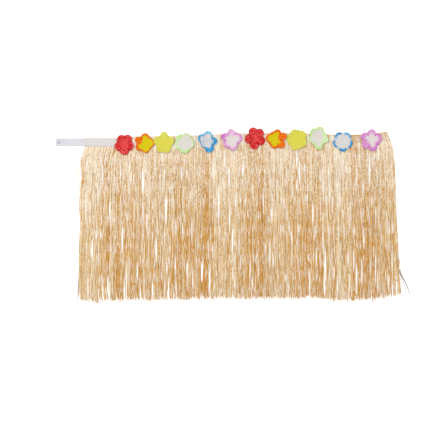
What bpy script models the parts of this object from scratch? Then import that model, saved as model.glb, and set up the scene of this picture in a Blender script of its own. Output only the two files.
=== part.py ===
"""A grass skirt laid out flat on its back: a raffia fringe hanging from a stitched
heading, a white closure tape with a press stud, and twelve cloth flowers.

Everything is drawn on the surface that the skirt lies on.  X runs along the waist
from the free end of the closure tape, Y points from the hem to the waist and is 0
at the tape's upper edge, and Z is the height above the surface.  The last step
puts the middle of the finished footprint at the world origin.  Lengths are metres.
"""

import math

import bmesh
import bpy
import numpy as np
from mathutils import Vector

MM = 0.001
CM = 0.01
GAP = 0.0003

# Closure tape: 25 mm webbing, its free end on the surface, the rest on the heading.
TAPE_WIDTH = 0.0245
TAPE_THICKNESS = 0.0010
TAB_LENGTH = 0.0915
TAPE_ON_HEADING = 0.0950
TAPE_SLOPE_START = 0.0220
TAPE_SLOPE_END = 0.0020
TAPE_STEPS = 34

# Heading: the strands doubled over an inner tape and stitched flat.
HEADING_LENGTH = 0.9200
HEADING_HEIGHT = 0.0260
HEADING_THICKNESS = 0.0035
HEADING_EDGE_DROP = 0.0014
HEADING_STEPS = 32

# Press stud: the ball half on the tape, and a socket half on the back of the heading
# for each girth that the waist fastens at.
STUD_RADIUS = 0.0050
STUD_PLATE = 0.0008
STUD_CHAMFER = 0.0003
STUD_SIDES = 20
STUD_INSET = 0.0110
BALL_RADIUS = 0.0018
BALL_HEIGHT = 0.0016
FASTENED_GIRTHS_CM = (98, 86)
SOCKET_HEIGHT = 0.0017
SOCKET_BORE = 0.0020
SOCKET_DEPTH = 0.0012

# Flowers: one layer of shaped cloth with five petals, bent up from a hinge ring.
PETALS = 5
RAYS_PER_PETAL = 6
FLOWER_THICKNESS = 0.0012
FLOWER_CUP = 0.0030
PETAL_NOTCH = 0.27
PETAL_ROUNDNESS = 0.62
HINGE_SHARE = 0.42
RING_SHARES = (0.0, 0.42, 0.72, 1.0)

# Fringe: hanks of raffia lying side by side, each a few strands deep.
HANK_COLUMNS = 8
HANK_ROWS = 8
HANK_HEAD_HEIGHT = 0.0032
HANK_SIDE_SHARE = 0.55
HANK_HEM_SHARE = 0.55
SWELL_SHARE = 0.20
TAPER_SHARE = 0.20
TIPS_PER_HANK = 3
TIP_DEPTH = 0.0035

# The upper edge of the heading, which lies in a slight bow: x along the waist, y.
HEADING_LINE = (
    # x,     y
    (0.000, 0.0000),
    (0.110, 0.0000),
    (0.180, 0.0002),
    (0.240, 0.0044),
    (0.362, 0.0058),
    (0.435, 0.0086),
    (0.575, 0.0142),
    (0.770, 0.0136),
    (0.860, 0.0102),
    (0.940, 0.0112),
    (1.012, 0.0175),
)

# The two sides of the fringe: share of the way down, x of the left and right side.
SIDE_LINES = (
    # down, left,  right
    (0.00, 0.0915, 1.0115),
    (0.04, 0.0870, 1.0240),
    (0.10, 0.0770, 1.0300),
    (0.18, 0.0710, 1.0345),
    (0.40, 0.0740, 1.0375),
    (0.54, 0.0765, 1.0385),
    (0.72, 0.0715, 1.0450),
    (0.84, 0.0690, 1.0530),
    (0.93, 0.0660, 1.0670),
    (1.00, 0.0630, 1.0760),
)

# The hem: share of the way across, y.
HEM_LINE = (
    # across, y
    (0.00, -0.4880),
    (0.04, -0.4935),
    (0.17, -0.4935),
    (0.26, -0.4880),
    (0.40, -0.4850),
    (0.70, -0.4850),
    (0.84, -0.4930),
    (0.93, -0.4850),
    (1.00, -0.4680),
)

# One row for each hank, left to right.  Share is its part of the width in percent,
# drop is how far it hangs past the hem line, pile is its height in the middle, and
# slit and lean are the opening to the next hank at the hem and that opening's shift.
HANKS = (
    # share, drop, pile, slit, lean (mm)
    (6.0, 2.0, 4.2, 3.0, -2.0),
    (7.5, -1.0, 4.8, 5.0, 3.0),
    (7.0, 1.5, 4.4, 2.5, 2.0),
    (7.5, -2.0, 4.6, 5.5, -4.0),
    (6.5, 0.0, 5.0, 2.0, -1.0),
    (7.5, -2.5, 4.6, 4.5, 3.0),
    (7.0, -1.0, 4.2, 3.0, 1.0),
    (6.5, -3.0, 4.8, 5.0, -3.0),
    (8.0, -1.0, 5.2, 3.5, -2.0),
    (7.0, -2.0, 4.8, 2.0, 2.0),
    (7.5, 0.5, 4.4, 4.0, 3.0),
    (7.0, 1.0, 4.8, 3.0, -3.0),
    (7.5, -1.5, 5.2, 4.5, 2.0),
    (7.5, 1.0, 5.0, 0.0, 0.0),
)

# One row for each flower.  Turn is the direction of its first petal and lifts are how
# far each petal stands up from the cup, in degrees; x and y place its middle.
FLOWERS = (
    # name, x, y, radius, turn, lifts
    ("red", 0.2110, -0.0190, 0.0305, 126, (2, 4, 4, 1, 3)),
    ("orange", 0.2725, -0.0165, 0.0295, 84, (1, 5, 2, 0, 4)),
    ("yellow", 0.3325, -0.0150, 0.0315, 90, (0, 2, 2, 0, 2)),
    ("green", 0.3935, -0.0150, 0.0305, 72, (2, 2, 2, 0, 4)),
    ("blue", 0.4650, -0.0110, 0.0305, 84, (2, 9, 7, 1, 14)),
    ("purple", 0.5380, -0.0045, 0.0320, 98, (2, 1, 1, 0, 3)),
    ("red", 0.6095, -0.0010, 0.0320, 112, (2, 4, 4, 2, 6)),
    ("orange", 0.6720, -0.0035, 0.0305, 80, (6, 4, 1, 4, 16)),
    ("yellow", 0.7370, -0.0050, 0.0315, 100, (1, 1, 1, 1, 1)),
    ("green", 0.8025, 0.0010, 0.0315, 76, (4, 2, 2, 1, 7)),
    ("blue", 0.8760, -0.0110, 0.0300, 126, (1, 1, 1, 1, 1)),
    ("purple", 0.9635, -0.0060, 0.0325, 88, (2, 2, 10, 1, 2)),
)

# Material name: colour, roughness, metallic.
FINISHES = {
    "raffia": ((0.74, 0.50, 0.22), 0.45, 0.0),
    "heading": ((0.80, 0.64, 0.42), 0.55, 0.0),
    "tape": ((0.80, 0.77, 0.83), 0.80, 0.0),
    "stud": ((0.45, 0.45, 0.47), 0.30, 1.0),
    "red": ((0.76, 0.04, 0.05), 0.85, 0.0),
    "orange": ((0.88, 0.30, 0.02), 0.85, 0.0),
    "yellow": ((0.75, 0.66, 0.08), 0.85, 0.0),
    "green": ((0.62, 0.80, 0.38), 0.85, 0.0),
    "blue": ((0.20, 0.55, 0.78), 0.85, 0.0),
    "purple": ((0.66, 0.30, 0.60), 0.85, 0.0),
}

MITRE_CLAMP = 2.0
SHARP_ANGLE = math.radians(35)
WELD = 1e-6


def clear_scene():
    for obj in list(bpy.data.objects):
        bpy.data.objects.remove(obj, do_unlink=True)


def make_material(name, colour, roughness, metallic):
    material = bpy.data.materials.new(name)
    material.use_nodes = True
    shader = material.node_tree.nodes["Principled BSDF"]
    shader.inputs["Base Color"].default_value = (*colour, 1.0)
    shader.inputs["Roughness"].default_value = roughness
    shader.inputs["Metallic"].default_value = metallic


def add_object(name, bm, finish, parent):
    """Turns a bmesh into a named object with its finish, under the skirt's empty."""
    mesh = bpy.data.meshes.new(name)
    bm.to_mesh(mesh)
    bm.free()
    mesh.shade_smooth()
    mesh.set_sharp_from_angle(angle=SHARP_ANGLE)
    mesh.materials.append(bpy.data.materials[finish])
    obj = bpy.data.objects.new(name, mesh)
    bpy.context.scene.collection.objects.link(obj)
    obj.parent = parent
    return obj


def surface(columns, rows, place):
    """A grid of faces whose point at (u, v), each from 0 to 1, is place(u, v)."""
    bm = bmesh.new()
    bmesh.ops.create_grid(bm, x_segments=columns, y_segments=rows, size=0.5)
    for vertex in bm.verts:
        vertex.co = place(vertex.co.x + 0.5, vertex.co.y + 0.5)
    return bm


def fill_down_to_surface(bm):
    """Closes an upper face down to Z = 0, so that it becomes a solid with a flat back."""
    made = bmesh.ops.extrude_face_region(bm, geom=bm.faces[:])["geom"]
    upper = {item for item in made if isinstance(item, bmesh.types.BMVert)}
    for vertex in bm.verts:
        if vertex not in upper:
            vertex.co.z = 0.0
    bmesh.ops.recalc_face_normals(bm, faces=bm.faces[:])


def add_wall(obj, thickness):
    """Gives a sheet its thickness, on the side away from its face."""
    wall = obj.modifiers.new("cloth wall", "SOLIDIFY")
    wall.thickness = thickness
    wall.offset = -1.0
    wall.use_even_offset = True
    wall.thickness_clamp = MITRE_CLAMP


def along(table, at, column=1):
    """The height of a smooth curve through one column of a table, by its first column."""
    rows = np.array(table, float)
    knots = rows[:, 0]
    values = rows[:, column]
    slopes = np.gradient(values, knots)
    at = min(max(at, knots[0]), knots[-1])
    i = min(max(int(np.searchsorted(knots, at)) - 1, 0), len(knots) - 2)
    step = knots[i + 1] - knots[i]
    t = (at - knots[i]) / step
    start = (1 + 2 * t) * values[i] + t * step * slopes[i]
    end = (3 - 2 * t) * values[i + 1] + (t - 1) * step * slopes[i + 1]
    return float((1 - t) ** 2 * start + t**2 * end)


def ease(t):
    t = min(max(t, 0.0), 1.0)
    return t * t * (3 - 2 * t)


def band_middle(x):
    """Y of the middle line that the tape and the heading share."""
    return along(HEADING_LINE, x) - HEADING_HEIGHT / 2


def socket_place(girth_cm):
    """X and Y of the socket that closes the waist to this girth round the ball half."""
    x = STUD_INSET + girth_cm * CM
    return x, band_middle(x)


def cut_socket_recess(heading, girth_cm, parent):
    """A round recess in the back of the heading, a little larger than the socket half."""
    radius = STUD_RADIUS + GAP
    height = 2 * (SOCKET_HEIGHT + GAP)
    bm = bmesh.new()
    bmesh.ops.create_cone(
        bm, cap_ends=True, segments=STUD_SIDES, radius1=radius, radius2=radius, depth=height
    )
    cutter = add_object(f"socket_recess_{girth_cm}cm", bm, "heading", parent)
    cutter.location = (*socket_place(girth_cm), 0)
    cutter.hide_render = True
    cutter.display_type = "WIRE"
    cut = heading.modifiers.new(cutter.name, "BOOLEAN")
    cut.operation = "DIFFERENCE"
    cut.object = cutter


def make_heading(parent):
    """A flat band under the bowed line, thinner along its two long edges."""

    def place(u, v):
        x = TAB_LENGTH + HEADING_LENGTH * u
        y = along(HEADING_LINE, x) - HEADING_HEIGHT * (1 - v)
        return x, y, HEADING_THICKNESS - HEADING_EDGE_DROP * abs(2 * v - 1) ** 4

    bm = surface(HEADING_STEPS, 4, place)
    fill_down_to_surface(bm)
    heading = add_object("waistband", bm, "heading", parent)
    for girth_cm in FASTENED_GIRTHS_CM:
        cut_socket_recess(heading, girth_cm, parent)


def make_tape(parent):
    """Webbing whose free end lies on the surface and whose other end lies on the heading."""
    length = TAB_LENGTH + TAPE_ON_HEADING
    rise = HEADING_THICKNESS + GAP
    slope = TAPE_SLOPE_START - TAPE_SLOPE_END

    def place(u, v):
        x = length * u
        y = band_middle(x) + TAPE_WIDTH * (v - 0.5)
        z = TAPE_THICKNESS + rise * ease((x - TAB_LENGTH + TAPE_SLOPE_START) / slope)
        return x, y, z

    tape = add_object("closure_tape", surface(TAPE_STEPS, 2, place), "tape", parent)
    add_wall(tape, TAPE_THICKNESS)


def turned(name, profile, parent):
    """A round piece turned about Z from a profile of (radius, height), top to bottom."""
    bm = bmesh.new()
    points = [bm.verts.new((radius, 0, height)) for radius, height in profile]
    for upper, lower in zip(points, points[1:]):
        bm.edges.new((upper, lower))
    piece = add_object(name, bm, "stud", parent)
    turn = piece.modifiers.new("turn", "SCREW")
    turn.steps = STUD_SIDES
    turn.render_steps = STUD_SIDES
    turn.use_merge_vertices = True
    turn.merge_threshold = WELD
    return piece


def make_ball(parent):
    """The ball half of the stud, on the face of the tape near its free end."""
    top = STUD_PLATE + BALL_HEIGHT
    ball = turned(
        "press_stud_ball",
        (
            (0, top),
            (BALL_RADIUS * 0.6, top),
            (BALL_RADIUS, top - BALL_HEIGHT * 0.4),
            (BALL_RADIUS * 0.8, STUD_PLATE),
            (STUD_RADIUS - STUD_CHAMFER, STUD_PLATE),
            (STUD_RADIUS, STUD_PLATE - STUD_CHAMFER),
            (STUD_RADIUS, 0),
            (0, 0),
        ),
        parent,
    )
    ball.location = (STUD_INSET, band_middle(STUD_INSET), TAPE_THICKNESS + GAP)


def make_socket(girth_cm, parent):
    """A socket half, its hollow facing down out of its recess."""
    socket = turned(
        f"press_stud_socket_{girth_cm}cm",
        (
            (0, SOCKET_HEIGHT),
            (STUD_RADIUS - STUD_CHAMFER, SOCKET_HEIGHT),
            (STUD_RADIUS, SOCKET_HEIGHT - STUD_CHAMFER),
            (STUD_RADIUS, 0),
            (SOCKET_BORE, 0),
            (SOCKET_BORE, SOCKET_DEPTH),
            (0, SOCKET_DEPTH),
        ),
        parent,
    )
    socket.location = (*socket_place(girth_cm), 0)


def petal_outline(angle):
    """Outline of a five-petalled flower of radius 1, its first petal at angle 0."""
    lobe = abs(math.cos(PETALS * angle / 2)) ** PETAL_ROUNDNESS
    return 1 - PETAL_NOTCH * (1 - lobe)


def petal_bend(angle, lifts):
    """How far the cloth bends up at this angle, eased from each petal's lift to the next."""
    place = angle / (2 * math.pi) * PETALS
    near = math.floor(place)
    before = lifts[near % PETALS]
    after = lifts[(near + 1) % PETALS]
    return math.radians(before + (after - before) * ease(place - near))


def make_flower(name, radius, turn, lifts, parent):
    """A shallow cup of cloth, seen from above, whose petals bend up past the hinge ring."""
    hinge = radius * HINGE_SHARE
    rings = len(RING_SHARES) - 1

    def place(u, v):
        angle = 2 * math.pi * (1 - u)
        reach = radius * petal_outline(angle) * RING_SHARES[round(v * rings)]
        flap = max(reach - hinge, 0.0)
        bend = petal_bend(angle, lifts)
        out = reach - flap + flap * math.cos(bend)
        up = FLOWER_CUP * (reach / radius) ** 2 + flap * math.sin(bend)
        heading = angle + math.radians(turn)
        return out * math.cos(heading), out * math.sin(heading), up

    bm = surface(PETALS * RAYS_PER_PETAL, rings, place)
    bmesh.ops.remove_doubles(bm, verts=bm.verts[:], dist=WELD)
    flower = add_object(name, bm, name.split("_")[-1], parent)
    add_wall(flower, FLOWER_THICKNESS)
    return flower


def make_flowers(parent):
    """Twelve flowers along the waist, each lying on the heading or on the tape."""
    tape_end = TAB_LENGTH + TAPE_ON_HEADING
    for number, (colour, x, y, radius, turn, lifts) in enumerate(FLOWERS, start=1):
        flower = make_flower(f"flower_{number:02d}_{colour}", radius, turn, lifts, parent)
        on_tape = x - radius * HINGE_SHARE < tape_end
        seat = HEADING_THICKNESS + GAP + (TAPE_THICKNESS + GAP if on_tape else 0.0)
        flower.location = (x, y, seat + FLOWER_THICKNESS + GAP)


def fringe_x(across, down):
    """X of the point that is a share across the fringe and a share down it."""
    left = along(SIDE_LINES, down, 1)
    right = along(SIDE_LINES, down, 2)
    return left + (right - left) * across


def make_hank(number, start, end, openings, row, parent):
    """One hank: flat underneath, crowned on top, open at its sides and ragged at the hem."""
    drop, pile = row[1] * MM, row[2] * MM

    def side_x(across, down, slit, lean, sign):
        """Where this side runs: half of the opening back from its line, which leans at the hem."""
        opening = GAP + slit * MM * down**3
        return fringe_x(across, down) + lean * MM * ease(down) + sign * opening / 2

    def place(u, v):
        down = 1 - v
        across = start + (end - start) * u
        left = side_x(start, down, *openings[0], 1)
        right = side_x(end, down, *openings[1], -1)
        top = along(HEADING_LINE, TAB_LENGTH + HEADING_LENGTH * across) - HEADING_HEIGHT - GAP
        tips = TIP_DEPTH * math.cos(2 * math.pi * TIPS_PER_HANK * u + number)
        hem = along(HEM_LINE, across) - drop + tips
        height = HANK_HEAD_HEIGHT + (pile - HANK_HEAD_HEIGHT) * ease(down / SWELL_SHARE)
        height *= 1 - (1 - HANK_HEM_SHARE) * ease((down - 1) / TAPER_SHARE + 1)
        height *= 1 - (1 - HANK_SIDE_SHARE) * abs(2 * u - 1) ** 3
        return left + (right - left) * u, top + (hem - top) * down, height

    bm = surface(HANK_COLUMNS, HANK_ROWS, place)
    fill_down_to_surface(bm)
    add_object(f"fringe_{number:02d}", bm, "raffia", parent)


def make_fringe(parent):
    """The hanks side by side, each sharing its side lines with its neighbours."""
    shares = np.array([row[0] for row in HANKS])
    ends = np.cumsum(shares) / shares.sum()
    starts = np.concatenate([[0.0], ends[:-1]])
    before = (0.0, 0.0)
    for number, (row, start, end) in enumerate(zip(HANKS, starts, ends), start=1):
        after = row[3:]
        make_hank(number, start, end, (before, after), row, parent)
        before = after


def centre_footprint(parent):
    """Moves the whole skirt so that the middle of its footprint is the world origin."""
    graph = bpy.context.evaluated_depsgraph_get()
    corners = [
        obj.matrix_world @ Vector(corner)
        for obj in parent.children
        if not obj.hide_render
        for corner in obj.evaluated_get(graph).bound_box
    ]
    middle = (np.min(corners, axis=0) + np.max(corners, axis=0)) / 2
    parent.location = (-middle[0], -middle[1], 0)


def main():
    clear_scene()
    for name, finish in FINISHES.items():
        make_material(name, *finish)
    skirt = bpy.data.objects.new("skirt", None)
    bpy.context.scene.collection.objects.link(skirt)
    make_heading(skirt)
    make_tape(skirt)
    make_ball(skirt)
    for girth_cm in FASTENED_GIRTHS_CM:
        make_socket(girth_cm, skirt)
    make_flowers(skirt)
    make_fringe(skirt)
    centre_footprint(skirt)


main()
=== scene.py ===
import math

import bpy
import numpy as np
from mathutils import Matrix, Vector


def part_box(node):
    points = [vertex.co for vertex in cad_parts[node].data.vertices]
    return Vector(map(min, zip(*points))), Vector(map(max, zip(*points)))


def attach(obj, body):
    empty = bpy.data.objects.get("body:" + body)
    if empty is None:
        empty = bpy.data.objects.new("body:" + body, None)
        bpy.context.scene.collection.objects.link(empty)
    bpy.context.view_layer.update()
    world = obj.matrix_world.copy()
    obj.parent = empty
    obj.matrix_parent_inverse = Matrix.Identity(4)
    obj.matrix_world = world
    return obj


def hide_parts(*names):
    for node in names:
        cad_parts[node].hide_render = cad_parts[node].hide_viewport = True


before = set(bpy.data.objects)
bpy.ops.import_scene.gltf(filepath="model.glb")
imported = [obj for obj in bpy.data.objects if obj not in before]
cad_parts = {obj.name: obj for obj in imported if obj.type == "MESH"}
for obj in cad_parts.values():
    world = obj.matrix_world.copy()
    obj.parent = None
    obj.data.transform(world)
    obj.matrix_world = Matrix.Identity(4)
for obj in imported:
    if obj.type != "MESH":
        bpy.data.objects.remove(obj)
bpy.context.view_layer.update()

mm = 0.001
turn = 2 * math.pi


# Lines that the pieces share: x along the waist from the tape's free end, y up from the heading's corner.
bandLines = {
    "headingLength": 920 * mm,
    "headingHeight": 26 * mm,
    "headingThickness": 3.5 * mm,
    "tapeWidth": 24.5 * mm,
    "tapeThickness": 1.0 * mm,
    "tabLength": 91.5 * mm,      # the part of the tape that is free of the heading
    "tapeOnHeading": 95 * mm,
    "slope": (22 * mm, 2 * mm),  # the tape climbs on to the heading between these distances before it
    "clearance": 0.3 * mm,
}

# Upper edge of the heading, in a slight bow: x, y.
headingLine = (
    (0.000, 0.0000), (0.110, 0.0000), (0.180, 0.0002), (0.240, 0.0044),
    (0.362, 0.0058), (0.435, 0.0086), (0.575, 0.0142), (0.770, 0.0136),
    (0.860, 0.0102), (0.940, 0.0112), (1.012, 0.0175),
)

# The two sides of the fringe, without the strands that stray from it: share of the way down, x of the
# left and of the right side.
sideLines = (
    (0.00, 0.0915, 1.0215), (0.04, 0.0865, 1.0275), (0.08, 0.0795, 1.0305), (0.13, 0.0808, 1.0325),
    (0.28, 0.0780, 1.0355), (0.40, 0.0745, 1.0370), (0.52, 0.0770, 1.0385), (0.64, 0.0735, 1.0415),
    (0.80, 0.0725, 1.0450), (0.91, 0.0700, 1.0470), (1.00, 0.0760, 1.0500),
)

# The hem: share of the way across, y.
hemLine = (
    (0.00, -0.4880), (0.04, -0.4935), (0.17, -0.4935),
    (0.26, -0.4880), (0.40, -0.4850), (0.70, -0.4850),
    (0.84, -0.4930), (0.93, -0.4850), (1.00, -0.4680),
)

# Where the band's own corner lies: the tape is centred on the heading's middle line.
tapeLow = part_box("closure_tape")[0]
bandCorner = np.array([
    tapeLow.x,
    tapeLow.y + (bandLines["headingHeight"] + bandLines["tapeWidth"]) / 2,
    0.0,
])


def curveThrough(table, at, column=1):
    # A smooth curve through one column of a table: on each span the cubic that meets both rows with
    # the mean slope of their neighbours.
    rows = np.array(table, float)
    knots, values = rows[:, 0], rows[:, column]
    slopes = np.gradient(values, knots)
    at = np.clip(at, knots[0], knots[-1])
    i = np.clip(np.searchsorted(knots, at) - 1, 0, len(knots) - 2)
    step = knots[i + 1] - knots[i]
    t = (at - knots[i]) / step
    start = (1 + 2 * t) * values[i] + t * step * slopes[i]
    end = (3 - 2 * t) * values[i + 1] + (t - 1) * step * slopes[i + 1]
    return (1 - t) ** 2 * start + t**2 * end


def ease(t):
    # 0 before 0, 1 after 1, and 3t^2 - 2t^3 between them.
    t = np.clip(t, 0, 1)
    return t * t * (3 - 2 * t)


def bump(t):
    # A smooth hill of height 1 at 0 that ends at -1 and 1: (1 - t^2)^2.
    return np.clip(1 - np.asarray(t) ** 2, 0, 1) ** 2


def headingTop(x):
    # Height of the bowed line at x.
    return curveThrough(headingLine, x)


def addWall(piece, thickness):
    # Gives a sheet its thickness, on the side away from its face.
    wall = piece.modifiers.new("wall", "SOLIDIFY")
    wall.thickness = thickness
    wall.offset = -1


def meshPiece(name, points, faces, marks=None, sharpAngle=40):
    # One object from an array of points and arrays of faces, with a row of corner numbers for each face.
    mesh = bpy.data.meshes.new(name)
    mesh.vertices.add(len(points))
    mesh.vertices.foreach_set("co", np.asarray(points, np.float32).ravel())
    corners = np.concatenate([rows.ravel() for rows in faces]).astype(np.int32)
    sizes = np.concatenate([np.full(len(rows), rows.shape[1]) for rows in faces])
    mesh.loops.add(len(corners))
    mesh.loops.foreach_set("vertex_index", corners)
    mesh.polygons.add(len(sizes))
    mesh.polygons.foreach_set("loop_start", (np.cumsum(sizes) - sizes).astype(np.int32))
    mesh.update(calc_edges=True)
    mesh.shade_smooth()
    mesh.set_sharp_from_angle(angle=math.radians(sharpAngle))
    for mark, values in (marks or {}).items():
        layer = mesh.attributes.new(mark, "FLOAT_VECTOR", "POINT")
        layer.data.foreach_set("vector", np.asarray(values, np.float32).ravel())
    piece = bpy.data.objects.new(name, mesh)
    bpy.context.scene.collection.objects.link(piece)
    return piece


def gridFaces(columns, rows, wraps=False):
    # Quads of a grid numbered row by row along its columns; wraps joins the last column to the first.
    i = np.arange(columns if wraps else columns - 1)
    j = np.arange(rows - 1)
    i, j = (side.ravel() for side in np.meshgrid(i, j, indexing="ij"))
    after = (i + 1) % columns
    return np.stack([i * rows + j, after * rows + j, after * rows + j + 1, i * rows + j + 1], axis=1)


def sweep(paths, across, up, twist):
    # Carries a closed profile along many paths at once.  A point of the profile stands at
    # path + across * N + up * B, where N is the path's own sideways direction, turned by the twist,
    # and B is square to it and to the path.  across and up have one value for each point of the profile.
    along = np.gradient(paths, axis=1)
    along /= np.linalg.norm(along, axis=2, keepdims=True)
    side = np.array([1.0, 0, 0]) - along * along[..., :1]
    side /= np.linalg.norm(side, axis=2, keepdims=True)
    out = np.cross(along, side)
    cosine, sine = np.cos(twist)[..., None], np.sin(twist)[..., None]
    turnedSide = cosine * side + sine * out
    turnedOut = cosine * out - sine * side
    return (
        paths[:, :, None]
        + across[..., None] * turnedSide[:, :, None]
        + up[..., None] * turnedOut[:, :, None]
    )


def sweptFaces(count, stations, sides):
    # Side quads and two end caps for each of a number of swept profiles.
    first = np.arange(count)[:, None, None] * stations * sides
    ring = np.arange(stations - 1)[None, :, None] * sides
    k = np.arange(sides)[None, None, :]
    here, after = first + ring + k, first + ring + (k + 1) % sides
    quads = np.stack([here, after, after + sides, here + sides], axis=-1).reshape(-1, 4)
    starts = (np.arange(count) * stations * sides)[:, None] + np.arange(sides)[::-1]
    ends = (np.arange(count) * stations * sides + (stations - 1) * sides)[:, None] + np.arange(sides)
    return [quads, np.concatenate([starts, ends])]


class Wire:
    # A socket's output.  Arithmetic on it adds Math nodes.

    def __init__(self, finish, socket):
        self.finish, self.socket = finish, socket

    def maths(self, operation, *others):
        settings = {"operation": operation}
        return self.finish.node("ShaderNodeMath", settings, dict(enumerate((self, *others))))

    def __add__(self, other):
        return self.maths("ADD", other)

    def __sub__(self, other):
        return self.maths("SUBTRACT", other)

    def __mul__(self, other):
        return self.maths("MULTIPLY", other)

    def __rsub__(self, other):
        return self * -1.0 + other

    __radd__ = __add__
    __rmul__ = __mul__

    def sine(self):
        return self.maths("SINE")

    def kept(self):
        # Kept between 0 and 1.
        return self.finish.node("ShaderNodeClamp", {}, {"Value": self})

    def between(self, low, high):
        # 0 at low, 1 at high, eased between them.
        return self.finish.node(
            "ShaderNodeMapRange",
            {"interpolation_type": "SMOOTHSTEP"},
            {"Value": self, "From Min": low, "From Max": high},
        )


class Finish:
    # A material under construction.

    def __init__(self, name):
        self.material = bpy.data.materials.new(name)
        self.material.use_nodes = True
        self.tree = self.material.node_tree
        self.tree.nodes.clear()

    def node(self, kind, settings, values, output=0):
        made = self.tree.nodes.new(kind)
        for name, value in settings.items():
            setattr(made, name, value)
        for name, value in values.items():
            if isinstance(value, Wire):
                self.tree.links.new(value.socket, made.inputs[name])
            else:
                made.inputs[name].default_value = value
        return Wire(self, made.outputs[output]) if made.outputs else made

    def mix(self, share, first, second):
        # Colours: first where share is 0, second where it is 1.
        return self.node("ShaderNodeMix", {"data_type": "RGBA"}, {0: share, 6: first, 7: second}, 2)

    def mark(self, name):
        # The three parts of a piece's own attribute.
        vector = self.node("ShaderNodeAttribute", {"attribute_name": name}, {}, 1)
        return self.parts(vector)

    def parts(self, vector):
        return [self.node("ShaderNodeSeparateXYZ", {}, {0: vector}, k) for k in range(3)]

    def place(self):
        # Object coordinates, as one vector.
        return self.node("ShaderNodeTexCoord", {}, {}, 3)

    def vector(self, x, y, z=0.0):
        return self.node("ShaderNodeCombineXYZ", {}, {0: x, 1: y, 2: z})

    def noise(self, vector, scale=1.0, detail=2.0, roughness=0.5):
        values = {"Vector": vector, "Scale": scale, "Detail": detail, "Roughness": roughness}
        return self.node("ShaderNodeTexNoise", {}, values)

    def weave(self, pitch):
        # Plain weave: threads of a pitch each way, as the product of two sines of the object's own place.
        x, y, _ = self.parts(self.place())
        return (x * (turn / pitch)).sine() * (y * (turn / pitch)).sine()

    def raised(self, height, distance, strength):
        values = {"Height": height, "Distance": distance, "Strength": strength}
        return self.node("ShaderNodeBump", {}, values)

    def done(self, values):
        shader = self.node("ShaderNodeBsdfPrincipled", {}, values)
        self.node("ShaderNodeOutputMaterial", {}, {"Surface": shader})
        return self.material


def dye(red, green, blue, strength=0.86):
    # A colour given as 0 to 255 on a screen, as the shader's linear colour times a strength.
    def linear(value):
        value = value / 255
        return value / 12.92 if value <= 0.04045 else ((value + 0.055) / 1.055) ** 2.4
    return (linear(red) * strength, linear(green) * strength, linear(blue) * strength, 1.0)


# The fringe: hanks of raffia ribbon, doubled over the heading.
fringe = {
    "seed": 11,
    "stations": 24,              # rings along a strand below the heading
    "crowding": 0.6,             # how much closer together they are near it
    "length": 470 * mm,
    "frontPitch": 1.85 * mm,     # between the strands that show on the heading
    "hiddenPerHank": 104,        # strands that start behind the heading's lower edge
    "width": (1.6 * mm, 3.7 * mm),
    "strayWidth": 1.15,          # strays are this much wider
    "swell": 0.22,               # change of width along a strand
    "tip": (0.45, 0.14),         # share of its width at the tip, and of its length that narrows
    "ridge": 0.20,               # height of a strand's crease as a share of its width
    "ridgeSpread": (0.6, 1.3),
    "ridgeLean": 0.28,           # how far the crease runs off the middle, as a share of the width
    "footSpread": 0.005,         # how far a strand ends from the place under its head, as a share
    "hemJitter": 4.5 * mm,
    "shortShare": 0.30,          # this share of the strands ends higher up
    "shortBy": 26 * mm,
    "meander": ((310 * mm, 2.2 * mm), (150 * mm, 1.3 * mm), (74 * mm, 0.7 * mm)),
    "crinkle": (36 * mm, 1.1 * mm, 0.45),  # length and size of the crinkles at the top, and where they end
    "twist": (0.75, 170 * mm),   # radians each way, and the length of one turn back and forth
    "underside": 0.5 * mm,       # height of the lowest strands' middle lines
    "headPile": 3.2 * mm,
    "drift": 0.10,               # how far a strand rises and sinks, as a share of the pile
    "lockPitch": (0.012, 0.030),  # width of a lock as a share of the fringe's
    "mostLocks": 200,
    "lockPull": 0.24,
    "lockTone": 0.11,
    "tones": ((0.24, 0.08, 0.08), (0.50, 0.50, 0.15), (0.26, 0.95, 0.10)),  # share, mean and spread
    "strayTone": 14.5,           # strands that stray further than this are grey (mm)
}

# How a strand lies on the heading.
lead = {
    "backRun": 12 * mm,          # of its second half, on the back
    "back": 0.35 * mm,           # its height there
    "face": (2.75 * mm, 0.45 * mm),  # its height on the face, and how far the layers there are apart
    "drops": (1.6 * mm, 5 * mm, 12.5 * mm, 20 * mm, 25 * mm),
    "pressed": (0.1 * mm, 0.42 * mm, 0.0, 0.42 * mm, 0.1 * mm),  # by the stitches, at those drops
    "hiddenDrops": (18.5 * mm, 22 * mm, 25 * mm),
    "wander": 0.35 * mm,
    "fray": (3.2 * mm, 975 * mm, 30 * mm),  # unevenness at the right end, and from where and how soon
}

# Small openings between strands, scattered: their count, and ranges in mm.
smallOpenings = {
    "count": 230,
    "x": (90, 1030),
    "below": 435,
    "length": (35, 110),
    "width": (1.8, 3.8),
}

# One row for each hank, left to right: percent of the width, how far it hangs past the hem line and
# its pile (mm).
hanks = (
    (6.0, 3.0, 4.2), (7.5, -3.5, 4.8), (7.0, -3.0, 4.4), (7.5, 1.5, 4.6), (6.5, 2.5, 5.0),
    (7.5, 1.5, 4.6), (7.0, 1.0, 4.2), (6.5, 2.5, 4.8), (8.0, 3.0, 5.2), (7.0, 1.5, 4.8),
    (7.5, -3.5, 4.4), (7.0, -1.5, 4.8), (7.5, 0.0, 5.2), (7.5, 5.0, 5.0),
)

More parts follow.
